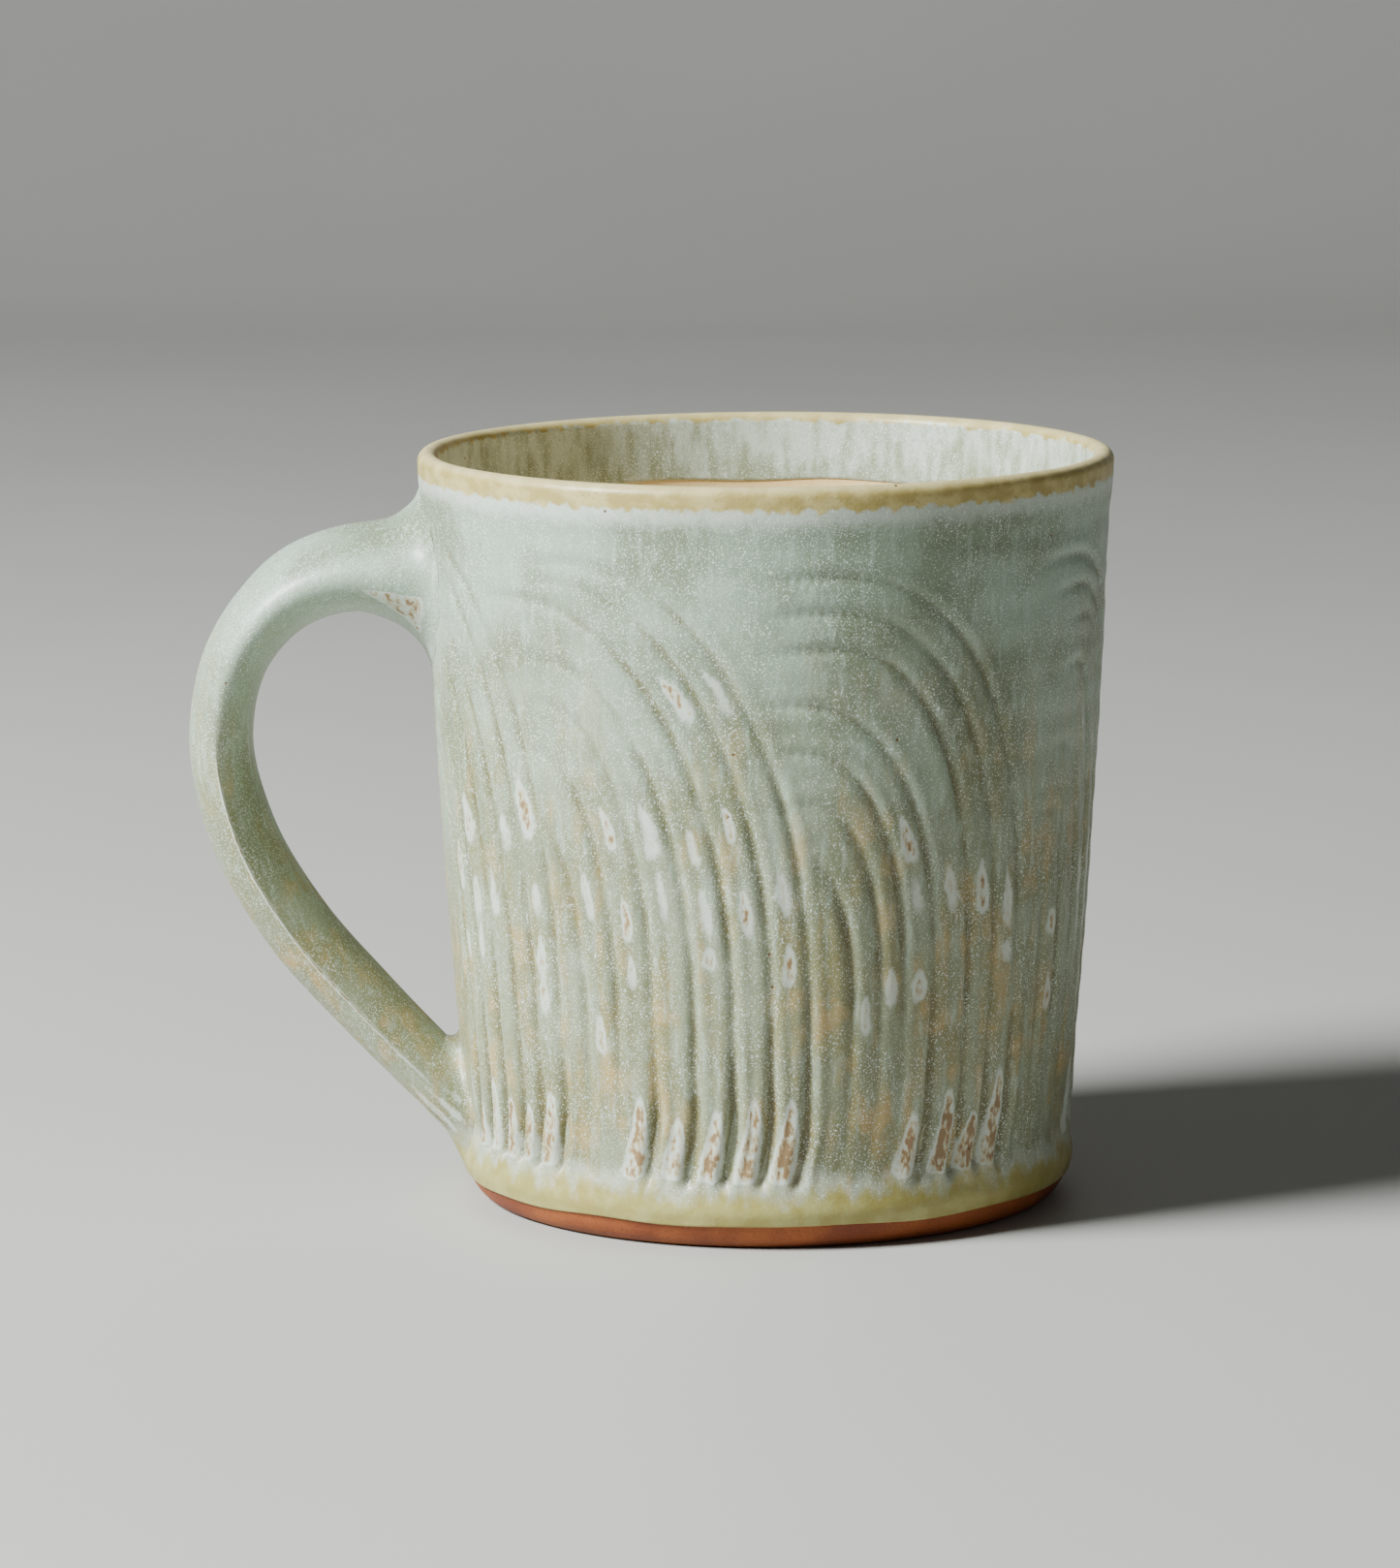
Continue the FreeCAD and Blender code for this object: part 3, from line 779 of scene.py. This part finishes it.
def strap_rings(places, inward, flared=True):
    """Rings round the strap at places along it. Near the wall, each lies at an even gap from it."""
    knots, start, end = strap_line()
    stations = curve_through(knots, places)
    ahead = curve_through(knots, places + 0.3) - curve_through(knots, places - 0.3)
    rings = []
    for place, station, step in zip(places, stations, ahead):
        direction = step[:2] / np.linalg.norm(step[:2])
        gap = min(place - start, end - place)
        ring = strap_ring(station, direction, max(gap, 0.0), inward, flared)
        wall_side = np.array(UPPER_LANDING if station[1] > MID_Z else LOWER_LANDING)
        landed = slide_to_gap(ring, wall_side, gap)
        rings.append(ring + (landed - ring) * (1 - smooth_step(np.array(gap), 0.0, UPPER_FLARE[0])))
    return np.array(rings)


def bald_corner(gap, turn, z):
    """1 in the three-cornered place under the upper joint, on the camera's side, that the glaze missed."""
    from_wall = (gap - 1.3) / 7.0
    down = (angle_in_turn(turn) - 3.36) / 0.72
    inside = np.minimum(np.minimum(from_wall, down), 1 - from_wall - down)
    return 0.97 * smooth_step(inside, -0.04, 0.08) * (z > MID_Z)


def make_handle_glaze(material):
    """The sage coat on the handle and its joints, closed by a hidden back."""
    _, start, end = strap_line()
    root = np.array([0.0, 0.12, 0.35, 0.7, 1.15, 1.7, 2.4, 3.2, 4.1, 5.2, 6.5, 7.4])
    body = np.arange(start + 8.2, end - 8.2, 0.8)
    places = np.concatenate([start + root, body, end - root[::-1]])
    outer = strap_rings(places, 0.0)
    inner = strap_rings(np.concatenate([places[:10:2], body[::5], places[-10::2]]), COAT)[::-1]
    last = len(outer) - 1
    z = outer[:, :, 2]
    turn = strap_turn()
    worn = 1.08 + 0.16 * np.sin(np.arange(len(outer)) * 0.21)[:, None]
    crease = crease_zone(z) * worn * bump_at(np.sin(turn), 0.0, 0.13)
    # Milky along the top of the strap's upper arc: partly glaze thin over its crown, partly a painted
    # highlight on the top that faces the light.
    crown_thin_and_sheen = 0.4 * bump_at(turn, math.pi / 2, 0.5) * smooth_step(-z, -79.0, -70.0)
    gap = np.minimum(places - start, end - places)[:, None]
    seam = (0.30 + 0.16 * np.sin(5 * turn) + 0.1 * np.sin(11 * turn)) * bump_at(gap, 0.3, 0.5)
    smear = (0.5 + 0.35 * np.sin(14 * turn + 0.3 * z)) * bump_at(z, 11.0, 4.5) * smooth_step(gap, 0.6, 2.0)
    edges = np.broadcast_to(crown_thin_and_sheen, z.shape)
    thin = np.maximum.reduce([crease, edges, seam, bald_corner(gap, turn, z), smear])
    crook = bump_at(gap, 0.0, 2.6) * smooth_step(z, 17.0, 21.0) * (z < MID_Z)
    pool = np.maximum(0.8 * smooth_step(-z, -14.0, -9.0), crook)
    blank = np.zeros((len(inner), STRAP_COLUMNS))
    piece = closed_piece(
        "handle_coat", np.concatenate([outer, inner]), sharp_rows=(0, last, last + 1, last + len(inner)),
        looks={"thin": np.vstack([thin, blank]), "pool": np.vstack([pool, blank])},
    )
    return finish_piece(piece, material, "sage_glaze", "handle_glaze")


def make_handle_clay(material):
    """The strap under its coat, with its ends pressed into the wall, and the coils round its joints."""
    _, start, end = strap_line()
    strap = strap_rings(np.linspace(start - ROOT_DEPTH, end + ROOT_DEPTH, 90), COAT + SLACK, flared=False)
    piece = closed_piece("handle_clay", strap, poles=True)
    finish_piece(piece, material, "stoneware", "pulled_handle")
    for name, node, first, towards in (
        ("upper_coil", "upper_joint_coil", start, 1.0), ("lower_coil", "lower_joint_coil", end, -1.0),
    ):
        reach = UPPER_FLARE[0] if towards > 0 else LOWER_FLARE[0]
        places = first + towards * np.linspace(0.0, reach, 14)
        cover = strap_rings(places, COAT + SLACK)
        bore = strap_rings(places, COAT + 2 * SLACK, flared=False)[::-1]
        coil = closed_piece(name, np.concatenate([cover, bore]))
        finish_piece(coil, material, "stoneware", node)


# ---- materials

def paint(red, green, blue):
    """A colour given as 0-255 screen values, as the linear colour that shaders use."""
    screen = np.array([red, green, blue]) / 255.0
    linear = np.where(screen <= 0.04045, screen / 12.92, ((screen + 0.055) / 1.055) ** 2.4)
    return (*(float(value) for value in linear), 1.0)


class Wiring:
    """One material's node tree. Each method adds a node and returns its output."""

    def __init__(self, name):
        self.material = bpy.data.materials.new(name)
        self.material.use_nodes = True
        self.nodes = self.material.node_tree.nodes
        self.links = self.material.node_tree.links
        self.shader = self.nodes["Principled BSDF"]
        self.place = self.nodes.new("ShaderNodeTexCoord").outputs["Object"]
        self.tone = None

    def feed(self, socket, value):
        if isinstance(value, bpy.types.NodeSocket):
            self.links.new(value, socket)
        else:
            socket.default_value = value

    def math(self, operation, first, second=0.0):
        node = self.nodes.new("ShaderNodeMath")
        node.operation = operation
        self.feed(node.inputs[0], first)
        self.feed(node.inputs[1], second)
        return node.outputs[0]

    def plus(self, first, second):
        return self.math("ADD", first, second)

    def minus(self, first, second):
        return self.math("SUBTRACT", first, second)

    def times(self, first, second):
        return self.math("MULTIPLY", first, second)

    def swing(self, noise, size):
        """A noise as a number that swings round zero, up to half of size either way."""
        return self.times(self.minus(noise, 0.5), size)

    def stretched(self, x, y, z):
        node = self.nodes.new("ShaderNodeVectorMath")
        node.operation = "MULTIPLY"
        self.feed(node.inputs[0], self.place)
        node.inputs[1].default_value = (x, y, z)
        return node.outputs[0]

    def noise(self, size_mm, detail=2.0, vertical=1.0, roughness=0.5):
        """Cloudy noise from 0 to 1 with features of about size_mm, drawn out downwards by vertical."""
        node = self.nodes.new("ShaderNodeTexNoise")
        self.feed(node.inputs["Vector"], self.stretched(1.0, 1.0, 1.0 / vertical))
        node.inputs["Scale"].default_value = 1.0 / (size_mm * MM)
        node.inputs["Detail"].default_value = detail
        node.inputs["Roughness"].default_value = roughness
        return node.outputs["Fac"]

    def pits(self, spacing_mm, size_mm, share):
        """1 in small round pits, about one in share of the cells spaced spacing_mm apart, and 0 elsewhere."""
        node = self.nodes.new("ShaderNodeTexVoronoi")
        self.feed(node.inputs["Vector"], self.place)
        node.inputs["Scale"].default_value = 1.0 / (spacing_mm * MM)
        reach = size_mm / spacing_mm
        dot = self.ramp(node.outputs["Distance"], reach, reach * 0.4)
        pick = self.nodes.new("ShaderNodeSeparateColor")
        self.feed(pick.inputs[0], node.outputs["Color"])
        chosen = self.math("LESS_THAN", pick.outputs[0], share)
        return self.times(dot, chosen)

    def ramp(self, value, start, end):
        """0 where value is at start, 1 where it is at end, and smooth between; start may be above end."""
        node = self.nodes.new("ShaderNodeMapRange")
        node.interpolation_type = "SMOOTHSTEP"
        self.feed(node.inputs["Value"], value)
        low, high = (start, end) if start < end else (end, start)
        node.inputs["From Min"].default_value = low
        node.inputs["From Max"].default_value = high
        node.inputs["To Min"].default_value = 0.0 if start < end else 1.0
        node.inputs["To Max"].default_value = 1.0 if start < end else 0.0
        return node.outputs["Result"]

    def blend(self, share, first, second):
        node = self.nodes.new("ShaderNodeMix")
        node.data_type = "RGBA"
        self.feed(node.inputs["Factor"], share)
        self.feed(node.inputs[6], first)
        self.feed(node.inputs[7], second)
        return node.outputs[2]

    def look(self, name):
        node = self.nodes.new("ShaderNodeAttribute")
        node.attribute_name = name
        return node.outputs["Fac"]

    def in_mm(self):
        """Distance from the axis and height of the shaded point, in millimetres."""
        node = self.nodes.new("ShaderNodeSeparateXYZ")
        self.feed(node.inputs[0], self.place)
        x, y, z = node.outputs
        squared = self.plus(self.times(x, x), self.times(y, y))
        radius = self.math("SQRT", squared)
        return self.times(radius, 1 / MM), self.times(z, 1 / MM)

    def raise_surface(self, *layers):
        """Feeds the shader's normal from (height, depth in millimetres) layers."""
        normal = None
        for height, depth in layers:
            node = self.nodes.new("ShaderNodeBump")
            node.inputs["Distance"].default_value = depth * MM
            self.feed(node.inputs["Height"], height)
            if normal is not None:
                self.feed(node.inputs["Normal"], normal)
            normal = node.outputs["Normal"]
        self.feed(self.shader.inputs["Normal"], normal)

    def colour(self, value):
        """Makes value the colour so far."""
        self.tone = value
        self.feed(self.shader.inputs["Base Color"], value)

    def lay(self, tone, share, amount=1.0):
        """Lays a paint over the colour so far, as much as share times amount."""
        if amount != 1.0:
            share = self.times(share, amount)
        self.colour(self.blend(share, self.tone, tone))

    def roughness(self, value):
        self.feed(self.shader.inputs["Roughness"], value)


SAGE_PALE = paint(170, 188, 174)
SAGE_LIGHT = paint(146, 164, 146)
SAGE = paint(112, 124, 100)
SAGE_GREEN = paint(112, 126, 96)
OLIVE = paint(92, 84, 40)
OLIVE_STAIN = paint(126, 120, 74)
TAN = paint(168, 140, 82)
BROWN = paint(118, 82, 42)
MILK = paint(204, 212, 202)
CRYSTAL_AND_GLINT = paint(232, 240, 234)
OCHRE = paint(160, 140, 66)
OCHRE_PALE = paint(186, 168, 104)
OCHRE_DARK = paint(136, 110, 48)
OCHRE_LIP_HIGHLIGHT = paint(206, 194, 150)
YELLOW_GREEN = paint(146, 132, 42)
FOOT_PALE = paint(162, 154, 80)
INNER_PALE = paint(180, 192, 180)
INNER_OLIVE = paint(132, 139, 112)
PEACH = paint(226, 200, 146)
PEACH_PALE = paint(236, 220, 180)
PEACH_YELLOW = paint(228, 208, 150)
RUST = paint(176, 96, 44)
CLAY = paint(116, 50, 14)
CLAY_PALE = paint(150, 78, 28)
CLAY_DARK = paint(92, 46, 22)
IRON = paint(66, 40, 24)


def glaze_material(name):
    """The ash glaze: sage where it is whole, milky then brown where it broke thin, olive where it pooled. Its
    bright specks are partly crystals and partly painted glints; the milky top of the handle's upper arc is
    partly a painted highlight, and the cream top of the lip is a painted highlight.
    """
    w = Wiring(name)
    radius, z = w.in_mm()
    ragged = w.plus(z, w.swing(w.noise(1.5, 4.0), 2.6))
    drips = w.plus(z, w.swing(w.noise(2.2, 3.0, vertical=1.8), 7.5))
    within = w.ramp(radius, LIP_RADIUS + 0.1, LIP_RADIUS - 0.25)
    inside = w.times(within, w.math("GREATER_THAN", z, DIP_Z - 3.0))

    cloud = w.noise(14.0, 3.0)
    streak = w.noise(2.4, 3.0, vertical=9.0)
    fine_streak = w.noise(0.9, 2.0, vertical=6.0)
    w.colour(w.blend(w.ramp(cloud, 0.36, 0.64), SAGE_LIGHT, SAGE))
    lower = w.ramp(z, 90.0, 28.0)
    w.lay(OLIVE_STAIN, lower, 0.5)
    patchy = w.plus(streak, w.swing(w.noise(9.0, 2.0), 0.5))
    stain = w.times(w.ramp(patchy, 0.42, 0.66), lower)
    stain_tone = w.blend(w.ramp(w.noise(4.0, 4.0), 0.44, 0.62), OLIVE_STAIN, TAN)
    w.lay(stain_tone, stain, 0.8)
    w.lay(SAGE_PALE, w.ramp(fine_streak, 0.5, 0.75), 0.4)

    thick = w.plus(w.look("pool"), w.swing(w.noise(1.4, 3.0), 0.5))
    w.lay(OLIVE, w.ramp(thick, 0.22, 0.80), 0.75)

    rained = w.plus(w.noise(1.6, 4.0, vertical=3.0), w.times(w.ramp(ragged, 96.0, 91.0), 0.12))
    rained = w.plus(rained, w.swing(w.noise(10.0, 2.0), 0.5))
    inner_mottle = w.blend(w.ramp(rained, 0.36, 0.82), INNER_PALE, INNER_OLIVE)
    w.lay(inner_mottle, inside)

    # Bright specks: partly pale crystals in the glaze, partly painted glints of light.
    crystal_and_glint_speck = w.ramp(w.noise(0.2, 1.0), 0.56, 0.70)
    gathered = w.ramp(w.noise(7.0, 2.0), 0.34, 0.60)
    w.lay(CRYSTAL_AND_GLINT, w.times(crystal_and_glint_speck, w.plus(0.35, w.times(gathered, 0.4))))
    dark_speck = w.ramp(w.noise(0.34, 1.0, vertical=1.3), 0.40, 0.30)
    w.lay(SAGE_GREEN, dark_speck, 0.3)

    rub = w.plus(w.noise(1.3, 4.0, vertical=2.0), w.times(w.noise(0.45, 2.0, vertical=1.6), 0.35))
    broken = w.plus(w.look("thin"), w.minus(rub, 0.68))
    near_rim = w.times(w.ramp(ragged, 91.4, 93.9), w.minus(1.0, inside))
    near_foot = w.ramp(drips, 11.0, 7.6)
    halo = w.math("MAXIMUM", w.ramp(broken, 0.22, 0.70), w.times(near_rim, 0.75))
    halo = w.math("MAXIMUM", halo, w.times(near_foot, 0.5))
    w.lay(MILK, halo, 0.74)
    lean = w.times(w.minus(broken, 0.9), 0.4)
    flakes = w.plus(w.noise(0.6, 3.0, vertical=2.0), lean)
    tan_core = w.times(w.ramp(broken, 0.66, 1.0), w.ramp(flakes, 0.40, 0.60))
    w.lay(TAN, tan_core, 0.7)
    brown_core = w.times(w.ramp(broken, 0.78, 1.05), w.ramp(flakes, 0.54, 0.66))
    w.lay(BROWN, brown_core, 0.75)

    ochre_outside = w.ramp(ragged, 94.1, 94.7)
    ochre_inside = w.ramp(ragged, 96.1, 96.6)
    ochre_tone = w.blend(w.ramp(w.noise(3.0, 4.0, vertical=0.7), 0.38, 0.64), OCHRE, OCHRE_PALE)
    ochre_tone = w.blend(w.times(w.ramp(w.noise(0.5, 2.0), 0.60, 0.70), 0.5), ochre_tone, OCHRE_DARK)
    # Painted highlight: the top of the lip is lightened towards cream, as if lit from above.
    ochre_tone = w.blend(w.times(w.ramp(z, 96.4, 97.3), 0.45), ochre_tone, OCHRE_LIP_HIGHLIGHT)
    ochre = w.plus(w.times(ochre_outside, w.minus(1.0, inside)), w.times(ochre_inside, inside))
    w.lay(ochre_tone, ochre, 0.92)
    foot_tone = w.blend(w.ramp(w.noise(3.5, 4.0), 0.40, 0.66), YELLOW_GREEN, FOOT_PALE)
    yellow = w.ramp(drips, 8.8, 5.8)
    w.lay(foot_tone, yellow, 0.85)
    pinhole = w.pits(5.0, 0.28, 0.3)
    w.lay(BROWN, pinhole)

    w.roughness(w.plus(0.36, w.times(w.noise(0.7, 2.0), 0.24)))
    w.shader.inputs["IOR"].default_value = 1.5
    w.shader.inputs["Coat Weight"].default_value = 0.12
    w.shader.inputs["Coat Roughness"].default_value = 0.22
    w.raise_surface((w.noise(3.5, 2.0), 0.10), (w.noise(0.45, 2.0), 0.03), (pinhole, -0.12))
    return w.material


def liner_material():
    """The peach coat inside: yellower towards the dip line, with rusty specks."""
    w = Wiring("liner_glaze_peach")
    _, z = w.in_mm()
    cloud = w.noise(9.0, 4.0)
    w.colour(w.blend(w.ramp(cloud, 0.35, 0.65), PEACH, PEACH_PALE))
    w.lay(TAN, w.ramp(w.noise(1.2, 3.0, vertical=3.0), 0.5, 0.7), 0.35)
    w.lay(RUST, w.ramp(w.noise(0.5, 1.0), 0.62, 0.7), 0.4)
    w.lay(PEACH_YELLOW, w.ramp(z, 76.0, 88.0), 0.7)
    w.lay(RUST, w.look("edge"), 0.3)
    w.roughness(w.plus(0.28, w.times(w.noise(1.5, 2.0), 0.2)))
    w.shader.inputs["Coat Weight"].default_value = 0.2
    w.shader.inputs["Coat Roughness"].default_value = 0.15
    w.raise_surface((w.noise(4.0, 2.0), 0.08), (w.noise(0.6, 2.0), 0.02))
    return w.material


def clay_material():
    """Fired stoneware: toasted in clouds, gritty, and pitted with iron, with painted shade darkening it
    towards the bottom of the foot.
    """
    w = Wiring("bare_stoneware")
    _, z = w.in_mm()
    toast = w.noise(11.0, 3.0)
    grain = w.noise(0.35, 3.0, roughness=0.6)
    w.colour(w.blend(w.ramp(toast, 0.36, 0.66), CLAY, CLAY_PALE))
    w.lay(CLAY_DARK, w.ramp(grain, 0.52, 0.68), 0.4)
    # Painted shade: the clay darkens towards the bottom of the foot, where it turns under away from the
    # light.
    w.lay(CLAY_DARK, w.ramp(z, 1.6, 0.2), 0.45)
    iron = w.pits(2.4, 0.3, 0.25)
    w.lay(IRON, iron, 0.8)
    w.roughness(w.plus(0.55, w.times(grain, 0.3)))
    w.raise_surface((w.noise(1.6, 3.0), 0.10), (grain, 0.05), (iron, -0.05))
    return w.material


def studio_material(name, colour):
    """Plain matt paper."""
    w = Wiring(name)
    shade = (*(0.96 * value for value in colour[:3]), 1.0)
    w.colour(w.blend(w.ramp(w.noise(220.0, 2.0), 0.3, 0.7), colour, shade))
    w.shader.inputs["Roughness"].default_value = 0.55
    return w.material


# ---- stage

def make_stage():
    """A pale table top that curves up into a pale backdrop."""
    bend = 0.6
    depth_points = [(-3.0, 0.0), (1.2, 0.0)]
    for angle in np.radians(np.linspace(0, 90, 24)):
        depth_points.append((1.2 + bend * math.sin(angle), bend * (1 - math.cos(angle))))
    depth_points.append((1.8, 3.2))
    vertices = [(side, y, z) for y, z in depth_points for side in (-3.5, 3.5)]
    faces = [(2 * row, 2 * row + 1, 2 * row + 3, 2 * row + 2) for row in range(len(depth_points) - 1)]
    mesh = bpy.data.meshes.new("studio_sweep")
    mesh.from_pydata(vertices, [], faces)
    mesh.shade_smooth()
    sweep = bpy.data.objects.new("studio_sweep", mesh)
    bpy.context.collection.objects.link(sweep)
    mesh.materials.append(studio_material("pale_paper", paint(176, 174, 170)))


def add_area_light(name, place, aim, size, power, colour):
    lamp = bpy.data.lights.new(name, "AREA")
    lamp.shape = "DISK"
    lamp.size = size
    lamp.energy = power
    lamp.color = colour
    light = bpy.data.objects.new(name, lamp)
    bpy.context.collection.objects.link(light)
    light.location = place
    direction = np.array(aim) - np.array(place)
    side = math.atan2(direction[0], direction[1])
    drop = math.atan2(-direction[2], math.hypot(direction[0], direction[1]))
    light.rotation_euler = (math.pi / 2 - drop, 0.0, -side)


def make_lights():
    """A soft key on the left, a weak fill on the right and a pale sky."""
    middle = (0.0, 0.0, HEIGHT * MM / 2)
    add_area_light("key", (-0.90, -0.42, 0.84), middle, 0.45, 62.0, (0.95, 1.0, 0.985))
    add_area_light("fill", (0.9, -0.9, 0.45), middle, 1.2, 0.6, (1.0, 0.93, 0.84))
    world = bpy.data.worlds.new("studio")
    world.use_nodes = True
    world.node_tree.nodes["Background"].inputs["Color"].default_value = (0.80, 0.82, 0.84, 1.0)
    world.node_tree.nodes["Background"].inputs["Strength"].default_value = 0.075
    bpy.context.scene.world = world


def make_camera():
    """The camera stands 0.88 m off, 9 degrees above level."""
    lens = bpy.data.cameras.new("camera")
    lens.sensor_width = 36.0
    lens.lens = 157.18
    camera = bpy.data.objects.new("camera", lens)
    bpy.context.collection.objects.link(camera)
    camera.location = (0.0, -0.88, 0.1956)
    camera.rotation_euler = (math.radians(90 - 9.181), math.radians(0.25), math.radians(0.523))
    bpy.context.scene.camera = camera


def main():
    sage = glaze_material("sage_ash_glaze")
    ochre = glaze_material("ochre_rim_glaze")
    yellow = glaze_material("yellow_foot_glaze")
    clay = clay_material()
    make_wall_glaze(sage)
    make_rim_band(ochre)
    make_foot_band(yellow)
    make_handle_glaze(sage)
    make_handle_clay(clay)
    make_liner(liner_material())
    make_clay(clay)
    make_stage()
    make_lights()
    make_camera()


main()
